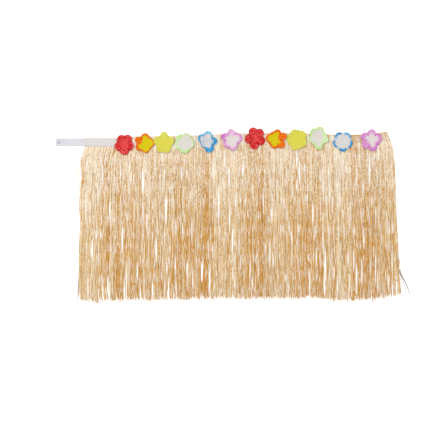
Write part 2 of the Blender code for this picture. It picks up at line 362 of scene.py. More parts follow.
# Openings where the strands part and the surface shows: x, how far below the heading, length, width (mm).
openings = (
    (337, 200, 95, 6.5), (308, 320, 90, 6.5), (785, 215, 80, 5.5), (267, 115, 80, 6.0),
    (447, 390, 55, 7.0), (940, 300, 65, 5.0), (531, 230, 110, 5.0), (112, 315, 70, 6.0),
    (160, 420, 65, 6.0), (385, 90, 55, 4.5), (165, 190, 50, 4.5), (571, 85, 50, 4.5),
    (388, 262, 45, 4.0), (296, 440, 50, 6.0), (540, 395, 45, 5.0), (168, 310, 45, 4.5),
    (912, 262, 40, 4.5), (226, 66, 40, 4.0), (107, 185, 45, 4.5), (340, 375, 60, 5.0),
    (402, 375, 60, 5.0), (565, 170, 40, 4.0), (640, 330, 50, 4.5), (700, 410, 45, 4.5),
    (850, 395, 50, 4.5), (1012, 240, 60, 3.0), (1017, 425, 50, 5.5), (1028, 455, 45, 5.0),
    (1040, 445, 60, 4.5), (735, 130, 50, 4.0), (250, 395, 45, 4.5), (205, 300, 70, 4.5),
    (480, 330, 60, 4.5), (600, 430, 50, 5.0), (820, 430, 55, 5.0), (965, 180, 50, 4.0),
    (660, 230, 50, 4.0),
)

# Strands that stray from the sides and the hem: share across, share down where it strays most,
# half-length of the stray as a share, how far it strays and how much longer it hangs (mm).
strays = (
    (0.003, 0.20, 0.16, -11, 0), (0.008, 0.30, 0.24, -6, 0), (0.004, 1.04, 0.20, -15, 7),
    (0.030, 1.05, 0.15, -5, 11), (0.012, 0.62, 0.16, -5, 2), (0.060, 1.05, 0.20, 6, 8),
    (0.330, 1.05, 0.18, 7, 7), (0.600, 1.05, 0.22, -6, 7), (0.985, 1.06, 0.34, 24, -6),
    (0.990, 1.05, 0.32, 51, 0), (0.970, 1.05, 0.30, 14, 0), (0.980, 1.08, 0.30, 14, 2),
    (0.996, 1.06, 0.26, 27, -6), (0.994, 1.08, 0.32, 12, -2), (0.988, 1.10, 0.26, 9, 3),
    (0.998, 0.88, 0.16, 8, 0), (0.997, 0.30, 0.16, 4, 0),
)

# How golden the strands are across the fringe, added to each strand's own tone: share across, shift.
goldLine = (
    (0.00, -0.04), (0.05, -0.08), (0.12, 0.20), (0.20, -0.06), (0.30, 0.04),
    (0.40, 0.14), (0.49, -0.11), (0.575, 0.22), (0.66, -0.08), (0.71, 0.12),
    (0.76, 0.04), (0.83, -0.09), (0.92, 0.22), (1.00, -0.04),
)


def fringeX(across, down):
    # Straight down from the heading, plus what each side line has moved by times the fifth power of the
    # nearness to that side.
    left, right = (curveThrough(sideLines, down, k) for k in (1, 2))
    leftStart, rightStart = sideLines[0][1:]
    straight = leftStart + (rightStart - leftStart) * across
    return straight + (left - leftStart) * (1 - across) ** 5 + (right - rightStart) * across**5


def makeLocks(rng):
    # Edges of the locks that strands draw together into, across the width, with each lock's pull and tone.
    low, high = fringe["lockPitch"]
    edges = np.cumsum(rng.uniform(low, high, fringe["mostLocks"]))
    edges = np.concatenate([[0], edges[edges < 1.0], [1.1]])
    return edges, rng.uniform(0.2, 1.0, len(edges)), rng.normal(0, 1, len(edges))


def lockOf(across):
    # Number of the lock that each strand is in.
    edges = locks[0]
    return np.clip(np.searchsorted(edges, across) - 1, 0, len(edges) - 2)


def addSmallOpenings(rng):
    # Many small openings scattered over the fringe, and after them the listed ones, which so stay
    # open, in the same columns.
    count = smallOpenings["count"]
    scattered = np.stack([
        rng.uniform(*smallOpenings["x"], count),
        smallOpenings["below"] * rng.uniform(0, 1, count) ** 0.7,
        rng.uniform(*smallOpenings["length"], count),
        rng.uniform(*smallOpenings["width"], count),
    ], axis=1)
    return np.concatenate([scattered, np.array(openings, float)]) * mm


def partStrands(x, y, widths):
    # Pushes strands aside at each opening: a strand at distance d from the opening's middle line moves to
    # sqrt(d^2 + a^2) on the side where it passes the opening's middle; a falls off as 1 - t^2 from there.
    down = headingTop(x) - bandLines["headingHeight"] - y
    for middle, below, length, width in allOpenings:
        reach = np.sqrt(bump((down - below) / (length * 0.65)))
        nearest = np.argmin(np.abs(down - below), axis=1)
        passing = np.take_along_axis(x, nearest[:, None], axis=1) - middle
        side = np.where(passing < 0, -1.0, 1.0)
        distance = np.maximum(side * (x - middle), 0)
        room = (width * 0.40 + widths[:, None] * 0.48) * reach
        moved = middle + side * np.sqrt(distance**2 + room**2)
        x = np.where((reach > 0) & (np.abs(x - middle) < 40 * mm), moved, x)
    return x


def lockedShare(across, foot, t):
    # Share across the fringe on a strand's way down: from its head to its foot, drawn towards the middle
    # of its lock, and less so near the two sides.
    edges, pulls, _ = locks
    lock = lockOf(across)
    middle = ((edges[lock] + edges[lock + 1]) / 2)[:, None]
    share = across[:, None] + (foot - across)[:, None] * ease(t)
    inside = ease(np.minimum(across, 1 - across)[:, None] * 25)
    pull = fringe["lockPull"] * pulls[lock][:, None] * inside
    return np.clip(share + (middle - share) * pull * ease(t * 1.6), 0.0, 1.0)


def sway(across, t, rng):
    # Sideways waves of the strands, smaller near the two sides: the long ones of the meander and, near the
    # heading, the crinkle.  Gives their sum and the crinkle's phase.
    shape = (len(across), 1)
    total = 0
    for wave, size in fringe["meander"]:
        phase = rng.uniform(0, turn, shape)
        size = size * rng.uniform(0.3, 1.3, shape)
        total = total + size * np.sin(turn * t * fringe["length"] / wave + phase) * ease(t * 8)
    wave, size, end = fringe["crinkle"]
    phase = turn * t * fringe["length"] / (wave * rng.uniform(0.7, 1.4, shape))
    phase = phase + rng.uniform(0, turn, shape)
    size = size * rng.uniform(0.1, 1.4, shape) * ease(t * 16) * ease(1.2 - t / end)
    calm = 0.35 + 0.65 * ease(np.minimum(across, 1 - across)[:, None] * 40)
    return calm * (total + size * np.sin(phase)), phase


def strandHeight(pile, layer, t, phase, rng):
    # Height of the strands below the heading: each has its layer's share of a pile that swells away from
    # the heading and thins to the hem, with a slow drift and a rise and fall at each crinkle.
    shape = (len(layer), 1)
    pileHere = fringe["headPile"] + (pile[:, None] - fringe["headPile"]) * ease(t * 4)
    pileHere = pileHere * (1 - 0.2 * ease((t - 0.8) * 5))
    drift = rng.normal(0, fringe["drift"], shape) * np.sin(turn * t * 1.3 + rng.uniform(0, turn, shape))
    crinkle = 0.12 * ease(1.2 - t / fringe["crinkle"][2]) * np.cos(phase)
    level = np.clip(layer[:, None] + drift + crinkle, 0.02, 1)
    return fringe["underside"] + level * (pileHere - fringe["underside"])


def headingLead(layer, onFront):
    # A strand's rings before it leaves the heading, as distances below the heading's upper edge and as
    # heights.  A front strand runs up the back, in a half circle round the edge and down the face; any
    # other starts inside the heading.
    count = len(layer)
    if not onFront:
        drops = np.broadcast_to(lead["hiddenDrops"], (count, 3))
        return drops, fringe["underside"] + layer[:, None] * mm + np.zeros((1, 3))
    height, spread = lead["face"]
    face = height + spread * (layer[:, None] - 0.5)
    middle, radius = (face + lead["back"]) / 2, (face - lead["back"]) / 2
    angle = np.radians([-90, -45, 0, 45])[None, :]
    drops = np.concatenate([
        np.broadcast_to([lead["backRun"], 5 * mm], (count, 2)),
        lead["drops"][0] - radius * np.cos(angle) * 1.1,
        np.broadcast_to(lead["drops"], (count, 5)),
    ], axis=1)
    heights = np.concatenate([
        np.full((count, 2), lead["back"]),
        middle + radius * np.sin(angle),
        face - np.array(lead["pressed"])[None, :],
    ], axis=1)
    return drops, heights


def strandPaths(across, drop, pile, layer, rng, onFront, stray=None):
    # Paths of a batch of strands, each with its lead on the heading and then its way down to the hem.  A
    # stray adds its reach times a hill that stands where it strays most.
    t = np.linspace(0, 1, fringe["stations"])[None, :]
    t = (1 - fringe["crowding"]) * t + fringe["crowding"] * t**2
    foot = across + rng.normal(0, fringe["footSpread"], len(across))
    swing, phase = sway(across, t, rng)
    x = fringeX(lockedShare(across, foot, t), t) + swing
    headX = fringeX(across, 0.0)
    top = headingTop(headX) - bandLines["headingHeight"]
    hem = curveThrough(hemLine, across) - drop
    y = top[:, None] + (hem - top)[:, None] * t
    z = strandHeight(pile, layer, t, phase, rng)
    if stray is not None:
        at, half, reach, longer = (stray[:, k : k + 1] for k in range(4))
        hill = bump((t - at) / half)
        x = x + reach * mm * hill
        y = y - longer * mm * ease((t - 0.7) / 0.3)
        z = z * (1 - 0.6 * hill)
    leadDrops, leadZ = headingLead(layer, onFront)
    topX = bandLines["tabLength"] + bandLines["headingLength"] * across[:, None]
    topX = topX + rng.normal(0, lead["wander"], topX.shape)
    fray, start, run = lead["fray"]
    fray = fray * rng.uniform(-0.2, 1, topX.shape) * ease((topX - start) / run)
    lean = np.clip(leadDrops / bandLines["headingHeight"], 0, 1) ** 1.5
    leadX = topX + (headX[:, None] - topX) * lean
    leadY = headingTop(leadX) - leadDrops + fray * (1 - lean)
    x[:, 0] = leadX[:, -1] * 0.3 + x[:, 0] * 0.7
    settle = 1 - ease(t * 12)
    z = z * (1 - settle) + leadZ[:, -1:] * settle
    return tuple(np.concatenate(pair, axis=1) for pair in ((leadX, x), (leadY, y), (leadZ, z)))


def makeStrands(across, drop, pile, layer, rng, number, onFront, stray=None):
    # Swept strands with their marks: across, along and tone.  A strand is flat on the heading, and below it
    # twists and swells in waves of its own and narrows at its tip.
    count = len(across)
    shape = (count, 1)
    widths = rng.uniform(*fringe["width"], count) * (1 if stray is None else fringe["strayWidth"])
    x, y, z = strandPaths(across, drop, pile, layer, rng, onFront, stray)
    paths = np.stack([partStrands(x, y, widths), y, z], axis=2)
    stations = paths.shape[1]
    first = stations - fringe["stations"]
    steps = np.linalg.norm(np.diff(paths, axis=1), axis=2)
    along = np.concatenate([np.zeros(shape), np.cumsum(steps, axis=1)], axis=1)
    along = along - along[:, first : first + 1] + bandLines["headingHeight"]
    free = ease((np.arange(stations) - first) / 2)[None, :]
    size, period = fringe["twist"]
    size = size * rng.uniform(0.3, 1.3, shape)
    period = period * rng.uniform(0.6, 1.5, shape)
    twist = free * size * np.sin(turn * along / period + rng.uniform(0, turn, shape))
    wave = np.sin(turn * along / (period * 0.7) + rng.uniform(0, turn, shape))
    tipWidth, tipLength = fringe["tip"]
    tip = 1 - (1 - tipWidth) * ease((along / along[:, -1:] - 1 + tipLength) / tipLength)
    width = widths[:, None] * (1 + free * fringe["swell"] * wave) * (1.15 - 0.15 * free) * tip
    ridge = fringe["ridge"] * width * (0.65 + 0.35 * free) * rng.uniform(*fringe["ridgeSpread"], shape)
    lean = rng.uniform(-fringe["ridgeLean"], fringe["ridgeLean"], shape)
    shares = np.stack([np.full(shape, 0.5), lean, np.full(shape, -0.5)], axis=2)
    heights = np.array([0.0, 1.0, 0.0])
    rings = sweep(paths, width[..., None] * shares, ridge[..., None] * heights, twist)
    rings[..., 2] = np.maximum(rings[..., 2], 0.1 * mm)
    kinds = np.array(fringe["tones"])[rng.choice(3, count, p=[kind[0] for kind in fringe["tones"]])]
    tone = kinds[:, 1] + kinds[:, 2] * rng.normal(0, 1, count) + fringe["lockTone"] * locks[2][lockOf(across)]
    tone = np.clip(tone + curveThrough(goldLine, across), 0, 0.9)
    if stray is not None:
        tone = np.where(np.abs(stray[:, 2]) > fringe["strayTone"], 1.0, tone)
    numbers = (number * 400 + np.arange(count)) * 0.01
    marks = np.zeros(rings.shape)
    marks[..., 0] = width[..., None] * shares + numbers[:, None, None]
    marks[..., 1] = along[..., None]
    marks[..., 2] = tone[:, None, None]
    return rings, marks


def makeHank(index, start, end):
    # One hank between two shares of the width: its front strands, its hidden ones and its strays.
    rng = np.random.default_rng(fringe["seed"] + index)
    _, hang, height = hanks[index]
    frontCount = round((end - start) * bandLines["headingLength"] / fringe["frontPitch"])
    batches = []
    for onFront, count in ((True, frontCount), (False, fringe["hiddenPerHank"])):
        across = start + (end - start) * (np.arange(count) + rng.uniform(0.1, 0.9, count)) / count
        offMiddle = np.abs((across - (start + end) / 2) / (end - start) * 2)
        drop = hang * mm + rng.normal(0, fringe["hemJitter"], count)
        short = rng.uniform(0, 1, count) < fringe["shortShare"]
        drop = drop - short * rng.exponential(fringe["shortBy"], count)
        pile = height * mm * (1 - 0.25 * offMiddle**3)
        order = (np.argsort(rng.uniform(0, 1, count)) + 0.5) / count
        layer = 0.40 + 0.60 * order if onFront else 0.85 * order
        batches.append(makeStrands(across, drop, pile, layer, rng, index * 3 + onFront, onFront))
    here = np.array([stray for stray in strays if start <= stray[0] < end])
    if len(here):
        drop, pile, layer = (np.full(len(here), value) for value in (hang * mm, height * mm, 0.6))
        batches.append(makeStrands(here[:, 0], drop, pile, layer, rng, index * 3 + 2, False, here[:, 1:]))
    points, marks, faces, used = [], [], [], 0
    for rings, ringMarks in batches:
        count, stations, sides, _ = rings.shape
        points.append(rings.reshape(-1, 3))
        marks.append(ringMarks.reshape(-1, 3))
        faces += [rows + used for rows in sweptFaces(count, stations, sides)]
        used += count * stations * sides
    points = np.concatenate(points) + bandCorner
    name = f"fringe_{index + 1:02d}"
    piece = meshPiece(f"{name}_strands", points, faces, {"strand": np.concatenate(marks)})
    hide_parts(name)
    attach(piece, "root")
    return piece


locks = makeLocks(np.random.default_rng(fringe["seed"]))
allOpenings = addSmallOpenings(np.random.default_rng(fringe["seed"] + 1))


# Colours of the ribbon, and of its stretch on the heading.
raffiaLook = {
    "pale": dye(249, 233, 204, 0.87),
    "paleLow": dye(240, 216, 173, 0.87),
    "gold": dye(211, 149, 50),
    "dark": dye(176, 112, 24),
    "stray": dye(128, 104, 74),
    "glint": dye(255, 252, 246, 0.95),
    "headingPale": dye(252, 243, 228),
    "headingTan": dye(214, 180, 134),
    "roughness": 0.32,
}


def raffiaFinish():
    # Crinkled ribbon: pale at the waist and more golden to the hem, each strand with its own tone and
    # with streaks along it, painted light and shade at the crinkles, dark streaks that are partly painted
    # shade between the strands, and painted glints; the stretch on the heading is paler, and browner to the
    # right, with painted shade along the fold at its upper edge.
    finish = Finish("raffia ribbon")
    across, along, tone = finish.mark("strand")
    streak = finish.noise(finish.vector(across * 300, along * 11), 1.0, 2.0)
    fleck = finish.noise(finish.vector(across * 600 + 31, along * 22), 1.0, 1.0)
    speck = finish.noise(finish.vector(across * 600 + 77, along * 130), 1.0, 1.0)
    crinkle = finish.noise(finish.vector(across * 1300, along * 260), 1.0, 3.0, 0.6)
    # painted light and shade at the crinkles: quick changes between pale and gold along each strand
    crinkleLightAndShade = (speck - 0.5) * (along.between(0.36, 0.03) * 2.2 + 3.1)
    goldShare = (tone - 0.5) * 1.6 + (streak - 0.5) * 1.8 + crinkleLightAndShade
    goldShare = goldShare + (along.between(0.02, 0.34) * 0.50 + 0.06)
    pale = finish.mix(along.between(0.06, 0.34), raffiaLook["pale"], raffiaLook["paleLow"])
    body = finish.mix(goldShare.kept(), pale, raffiaLook["gold"])
    # dark streaks: partly the ribbon's deeper gold and partly painted shade between the strands
    body = finish.mix(streak.between(0.60, 0.74) * 0.65, body, raffiaLook["dark"])
    body = finish.mix(fleck.between(0.59, 0.65) * 0.9, body, raffiaLook["glint"])
    body = finish.mix(tone.between(0.93, 0.98) * along.between(0.30, 0.44), body, raffiaLook["stray"])
    x = finish.parts(finish.place())[0]
    bunch = finish.noise(finish.vector(x * 210, along * 14), 1.0, 1.0)
    headTone = x.between(0.12, 0.44) * 0.7 + (tone - 0.5) * 1.2 + (streak - 0.5) * 1.6
    headTone = headTone + (bunch - 0.5) * 3.4 + 0.18
    head = finish.mix(headTone.kept(), raffiaLook["headingPale"], raffiaLook["headingTan"])
    # painted shade: darker gold along the fold over the heading's upper edge
    head = finish.mix(along.between(0.0026, 0.0004) * 0.6, head, raffiaLook["gold"])
    colour = finish.mix(along.between(0.034, 0.022), body, head)
    return finish.done({
        "Base Color": colour,
        "Roughness": raffiaLook["roughness"] + crinkle * 0.25,
        "Specular IOR Level": 0.22,
        "Normal": finish.raised(crinkle, 0.35 * mm, 0.8),
    })


raffia = raffiaFinish()
shares = np.cumsum([0] + [row[0] for row in hanks]) / 100
hankPieces = [makeHank(i, shares[i], shares[i + 1]) for i in range(len(hanks))]
for piece in hankPieces:
    piece.data.materials.append(raffia)
print("fringe made:", len(hankPieces), "hanks")


# The heading: an inner tape under the strands, and two rows of stitches through them.
heading = {
    "tapeLength": 918 * mm,
    "tapeInset": 1 * mm,         # from the heading's left end
    "tapeHeights": (1.9 * mm, 2.25 * mm),
    "edge": 1.2 * mm,            # the strands reach past the inner tape by this much
    "stitchRows": (5 * mm, 20 * mm),
    "stitchPitch": 6.2 * mm,
    "stitchLength": 4.2 * mm,
    "stitchEnds": (4 * mm, 2 * mm),  # from the heading's two ends
    "stitchHeight": 2.45 * mm,
    "stitchLift": 0.55 * mm,
    "threadRadius": 0.28 * mm,
}


def makeInnerTape():
    # A flat strip under the bowed line: x along it, a share of its height down it, closed by a wall.
    columns, rows = 160, 4
    low, high = heading["tapeHeights"]
    u = np.linspace(0, 1, columns)[:, None]
    v = np.linspace(0, 1, rows)[None, :]
    x = bandLines["tabLength"] + heading["tapeInset"] + heading["tapeLength"] * u + 0 * v
    y = headingTop(x) - heading["edge"] - (bandLines["headingHeight"] - 2 * heading["edge"]) * v
    points = np.stack([x, y, np.full_like(x, high)], axis=2).reshape(-1, 3) + bandCorner
    piece = meshPiece("waistband_inner_tape", points, [gridFaces(columns, rows)[:, ::-1]])
    addWall(piece, high - low)
    return piece


def makeStitches(name, starts, length, radius, height, lift):
    # Stitches as short tubes: each runs from its start along the bowed line, is thinner at its ends and
    # rises over its middle by lift * sin(pi t).
    count, stations, sides = len(starts), 6, 6
    slope = headingTop(starts[:, 0] + length) - headingTop(starts[:, 0])
    direction = np.stack([np.full(count, length), slope, 0 * slope], axis=1)
    direction /= np.linalg.norm(direction, axis=1, keepdims=True)
    t = np.linspace(0, 1, stations)[None, :]
    path = starts[:, None, :] + direction[:, None, :] * (length * t)[..., None]
    path[..., 2] = height[:, None] + lift * np.sin(math.pi * t)
    angle = np.arange(sides) / sides * turn
    thin = 0.45 + 0.55 * np.sin(math.pi * t)[..., None]
    across = radius * np.cos(angle) * thin * np.ones((count, 1, 1))
    up = radius * np.sin(angle) * thin * np.ones((count, 1, 1))
    upwards = np.array([0, 0, 1.0])
    side = np.cross(upwards, direction)[:, None, None, :]
    rings = path[:, :, None] - across[..., None] * side + up[..., None] * upwards
    faces = [rows[:, ::-1] for rows in sweptFaces(count, stations, sides)]
    return meshPiece(name, rings.reshape(-1, 3) + bandCorner, faces, sharpAngle=80)


def headingStitches():
    # Two rows of stitches along the heading.
    afterLeft, beforeRight = heading["stitchEnds"]
    first = bandLines["tabLength"] + afterLeft
    last = bandLines["tabLength"] + bandLines["headingLength"] - beforeRight
    x = np.arange(first, last, heading["stitchPitch"])
    rows = [np.stack([x, headingTop(x) - drop, 0 * x], axis=1) for drop in heading["stitchRows"]]
    starts = np.concatenate(rows)
    return makeStitches(
        "waistband_stitching", starts, heading["stitchLength"], heading["threadRadius"],
        np.full(len(starts), heading["stitchHeight"]), heading["stitchLift"],
    )


def wovenFinish(name, colour, shade, pitch):
    # Plain weave in two close shades, in cloudy patches.
    finish = Finish(name)
    weave = finish.weave(pitch)
    cloudy = finish.noise(finish.place(), 90.0, 3.0)
    worn = finish.mix((cloudy - 0.5) * 1.2 + 0.4 + weave * 0.12, colour, shade)
    return finish.done({
        "Base Color": worn,
        "Roughness": 0.82 + (cloudy - 0.5) * 0.2,
        "Normal": finish.raised(weave, 0.12 * mm, 0.7),
    })


innerTape = makeInnerTape()
innerTape.data.materials.append(
    wovenFinish("beige binding", dye(240, 228, 208, 0.84), dye(226, 206, 178, 0.84), 0.9 * mm)
)
stitching = headingStitches()
stitching.data.materials.append(
    wovenFinish("beige thread", dye(238, 226, 204, 0.84), dye(220, 200, 170, 0.84), 0.5 * mm)
)
for piece in (innerTape, stitching):
    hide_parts("waistband")
    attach(piece, "root")
print("heading made")


# The closure tape: webbing that runs on from the heading's left end, sewn down along two sides.
closure = {
    "columns": 150,
    "rows": 13,
    "sag": 0.25 * mm,            # its long edges lie this much lower
    "free": dye(231, 228, 235, 0.83),
    "freeShade": dye(224, 221, 229, 0.83),
    "sewn": dye(229, 223, 222, 0.83),
    "sewnShade": dye(236, 228, 219, 0.83),
    "ridgeShade": dye(205, 200, 204, 0.83),
    "weave": 0.95 * mm,
    "thickness": 0.6 * mm,
    "ripple": (0.10 * mm, 7.3 * mm),  # height and length of the ripples where it is sewn down
    "stitchPitch": 3.6 * mm,
    "stitchLength": 2.5 * mm,
    "stitchInset": 2.2 * mm,
    "stitchEnds": (2 * mm, 3 * mm),  # from the two ends of the sewn part
    "stitchSink": 0.28 * mm,     # of a stitch's ends into the tape
    "stitchLift": 0.3 * mm,
    "threadRadius": 0.2 * mm,
}


def tapeHeight(x):
    # Height of the tape's face: flat on the surface, a smooth climb, then flat on the heading.
    rise = bandLines["headingThickness"] + bandLines["clearance"]
    begin, end = bandLines["slope"]
    climb = ease((x - bandLines["tabLength"] + begin) / (begin - end))
    return bandLines["tapeThickness"] + rise * climb


def makeClosureTape():
    # Webbing: x along it, y across it about the heading's middle line; the face sinks with the fifth power
    # of the distance from the middle and at both ends, with faint ripples where it is sewn down.
    columns, rows = closure["columns"], closure["rows"]
    length = bandLines["tabLength"] + bandLines["tapeOnHeading"]
    u = np.linspace(0, 1, columns)[:, None]
    v = np.linspace(-1, 1, rows)[None, :]
    x = length * u + 0 * v
    y = headingTop(x) - bandLines["headingHeight"] / 2 + bandLines["tapeWidth"] / 2 * v
    sewn = ease((x - bandLines["tabLength"]) / (6 * mm))
    size, wave = closure["ripple"]
    ripple = size * sewn * np.sin(x * turn / wave + 2 * v) * np.abs(v)
    ends = bump(x / (2.5 * mm)) + bump((length - x) / (2.5 * mm))
    z = tapeHeight(x) - closure["sag"] * (np.abs(v) ** 5 + ends) + ripple - 0.05 * mm
    points = np.stack([x, y, z], axis=2).reshape(-1, 3) + bandCorner
    piece = meshPiece("closure_tape_webbing", points, [gridFaces(columns, rows)])
    addWall(piece, closure["thickness"])
    return piece


def closureStitches():
    # Two rows of stitches along the sewn part.
    afterStart, beforeEnd = closure["stitchEnds"]
    first = bandLines["tabLength"] + afterStart
    last = bandLines["tabLength"] + bandLines["tapeOnHeading"] - beforeEnd
    x = np.arange(first, last, closure["stitchPitch"])
    half = bandLines["tapeWidth"] / 2 - closure["stitchInset"]
    middle = headingTop(x) - bandLines["headingHeight"] / 2
    starts = np.concatenate([np.stack([x, middle + side * half, 0 * x], axis=1) for side in (-1, 1)])
    return makeStitches(
        "closure_tape_stitching", starts, closure["stitchLength"], closure["threadRadius"],
        tapeHeight(starts[:, 0]) - closure["stitchSink"], closure["stitchLift"],
    )


def webbingFinish():
    # White webbing: lilac-white where it is free, warmer where it lies on the raffia, with a fine weave and
    # a line of painted shade along the ridge where the sewn part begins.
    finish = Finish("white webbing")
    x = finish.parts(finish.place())[0]
    edge = bandCorner[0] + bandLines["tabLength"]
    weave = finish.weave(closure["weave"])
    cloudy = finish.noise(finish.place(), 60.0, 3.0)
    free = (cloudy.between(0.35, 0.7) + weave * 0.1).kept()
    free = finish.mix(free, closure["free"], closure["freeShade"])
    sewn = finish.mix(cloudy * 0.5, closure["sewn"], closure["sewnShade"])
    colour = finish.mix(x.between(edge - 1 * mm, edge + 1 * mm), free, sewn)
    # painted shade: a darker line along the ridge where the tape climbs over the heading's end and its sewn
    # part begins
    begins = x.between(edge - 2.2 * mm, edge - 0.4 * mm)
    ends = x.between(edge + 0.4 * mm, edge + 2.2 * mm)
    colour = finish.mix(begins * (1 - ends) * 0.5, colour, closure["ridgeShade"])
    return finish.done({
        "Base Color": colour,
        "Roughness": 0.75 + (cloudy - 0.5) * 0.2,
        "Sheen Weight": 0.15,
        "Normal": finish.raised(weave, 0.12 * mm, 0.7),
    })


webbing = makeClosureTape()
webbing.data.materials.append(webbingFinish())
webbingStitches = closureStitches()
webbingStitches.data.materials.append(
    wovenFinish("white thread", dye(232, 228, 230, 0.83), dye(218, 212, 214, 0.83), 0.5 * mm)
)
for piece in (webbing, webbingStitches):
    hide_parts("closure_tape")
    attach(piece, "root")
print("closure tape made")


def nickelFinish():
    # The press stud's plating, finely brushed.
    finish = Finish("nickel plate")
    x, y, _ = finish.parts(finish.place())
    brushed = finish.noise(finish.vector(x * 9000, y * 900), 1.0, 2.0)
    return finish.done({
        "Base Color": finish.mix(brushed * 0.6, dye(162, 162, 168, 1.0), dye(112, 112, 118, 1.0)),
        "Metallic": 1.0,
        "Roughness": 0.24 + brushed * 0.16,
    })


# The stud's halves stay on show as the frame has them, and take this plating.
nickel = nickelFinish()
for node in ("press_stud_ball", "press_stud_socket_98cm", "press_stud_socket_86cm"):
    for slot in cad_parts[node].material_slots:
        slot.material = nickel


# Measures that all twelve flowers share.
flowerCut = {
    "seed": 500,
    "raysPerPetal": 28,
    "rings": 20,
    "cup": math.radians(8),      # rise of every ray
    "tipCurl": math.radians(24),  # most that a petal's tip bends down again
    "droop": 1.0 * mm,           # of a petal's two sides
    "ragged": 0.007,
    "thickness": 0.7 * mm,
    "hinge": 0.34,               # share of a petal where its lift begins
    "vein": 0.22 * mm,
    "crease": 0.7 * mm,
    "ruffle": 0.55 * mm,
    "blend": 0.55 * mm,          # rounding between the petals and the middle
    "valley": 0.8 * mm,          # depth of the crease between two petals
    "fold": 1.2 * mm,
    "clearance": 0.2 * mm,       # of the cloth's underside over the lowest point of its node
}

# One entry for each flower: its dye, place, radius of the uncut middle (mm), and how far the rim's colour
# runs inwards between two petals (or, below 0, fades there).  Petals are given as direction (degrees),
# length and width (mm), lift (degrees), how far the rim's colour reaches in (share) and how deep that
# colour is (0 to 1).
flowers = (
    ("red", 0.2110, -0.0190, 23.0, 0, (
        (122, 31, 29, 4, 0.6, 0.7), (58, 32, 28, 6, 0.6, 0.5), (342, 30, 30, 4, 0.6, 0.9),
        (269, 33, 30, 3, 0.6, 0.5), (202, 31, 30, 6, 0.6, 0.7))),
    ("orange", 0.2735, -0.0165, 24.5, 0.0, (
        (88, 31, 25, 3, 0.24, 0.6), (153, 33, 22, 8, 0.66, 0.6), (214, 31, 26, 4, 0.26, 0.8),
        (279, 29, 27, 2, 0.14, 0.7), (5, 29, 30, 6, 0.14, 0.7))),
    ("yellow", 0.3320, -0.0150, 26, 0, (
        (90, 34, 22, 2, 0.6, 0.1), (161, 34, 28, 4, 0.3, 0.4), (236, 32, 28, 3, 0.3, 0.6),
        (291, 32, 27, 3, 0.3, 0.5), (19, 32, 29, 4, 0.3, 0.4))),
    ("green", 0.3935, -0.0150, 27.0, -0.2, (
        (133, 31, 26, 4, 0.36, 0.5), (70, 32, 27, 4, 0.16, 0.4), (352, 31, 30, 6, 0.12, 0.7),
        (272, 32, 29, 2, 0.26, 0.7), (200, 31, 28, 6, 0.34, 0.2))),
    ("blue", 0.4650, -0.0110, 21.0, 0, (
        (90, 32, 28, 4, 0.22, 0.2), (150, 33, 25, 12, 0.22, 0.6), (212, 24, 30, 10, 0.12, 0.8),
        (284, 34, 28, 3, 0.44, 0.7), (4, 29, 23, 20, 0.40, 0.9))),
    ("purple", 0.5380, -0.0040, 25.5, 0.1, (
        (96, 32, 21, 4, 0.56, 0.1), (161, 34, 24, 3, 0.40, 1.0), (227, 32, 27, 3, 0.28, 0.6),
        (280, 35, 26, 3, 0.24, 0.5), (14, 32, 31, 5, 0.24, 0.8))),
    ("red", 0.6090, -0.0010, 23.5, 0, (
        (107, 34, 28, 4, 0.8, 0.6), (50, 34, 28, 8, 0.7, 0.6), (338, 32, 29, 4, 0.7, 0.8),
        (263, 34, 30, 6, 0.8, 0.8), (187, 32, 30, 6, 0.9, 0.9))),
    ("orange", 0.6715, -0.0035, 25, 0.15, (
        (172, 31, 26, 6, 0.24, 0.6), (74, 31, 22, 8, 0.26, 0.7), (20, 36, 24, 22, 0.74, 0.7),
        (260, 29, 27, 3, 0.22, 0.8), (316, 35, 25, 5, 0.50, 0.6))),
    ("yellow", 0.7365, -0.0045, 28.8, 0, (
        (112, 32, 30, 3, 0.3, 0.3), (172, 33, 29, 3, 0.3, 0.5), (256, 34, 29, 3, 0.3, 0.5),
        (328, 32, 30, 3, 0.3, 0.4), (42, 33, 30, 3, 0.3, 0.3))),
    ("green", 0.8010, 0.0015, 26, 0.0, (
        (130, 32, 26, 4, 0.24, 0.8), (76, 34, 25, 6, 0.20, 0.6), (344, 33, 20, 9, 0.50, 0.2),
        (275, 37, 25, 3, 0.24, 0.7), (194, 29, 27, 4, 0.18, 0.6))),
    ("blue", 0.8760, -0.0105, 27.3, -1.0, (
        (126, 31, 28, 3, 0.24, 0.9), (52, 31, 29, 3, 0.22, 0.5), (340, 31, 28, 3, 0.24, 0.9),
        (270, 31, 26, 3, 0.26, 1.0), (198, 31, 28, 3, 0.22, 0.9))),
    ("purple", 0.9635, -0.0055, 26.5, 0.15, (
        (89, 32, 26, 4, 0.38, 0.5), (157, 35, 26, 4, 0.42, 0.8), (13, 32, 29, 4, 0.34, 0.8),
        (218, 36, 26, 14, 0.66, 0.6), (281, 35, 25, 3, 0.36, 0.9))),
)

# Folds of the fifth flower, whose cloth is bent up like a bell: x, y of its two ends, half of its width
# (mm) and how deep the dye is on it.
folds = {
    5: (
        (-12.0, 22, -16, 1.1, 0.6),
        (-3.5, 14, -8, 0.8, 0.2),
        (5.0, 14, -12, 0.8, 0.2),
        (13.0, 20, -24, 1.1, 0.9),
    ),
}

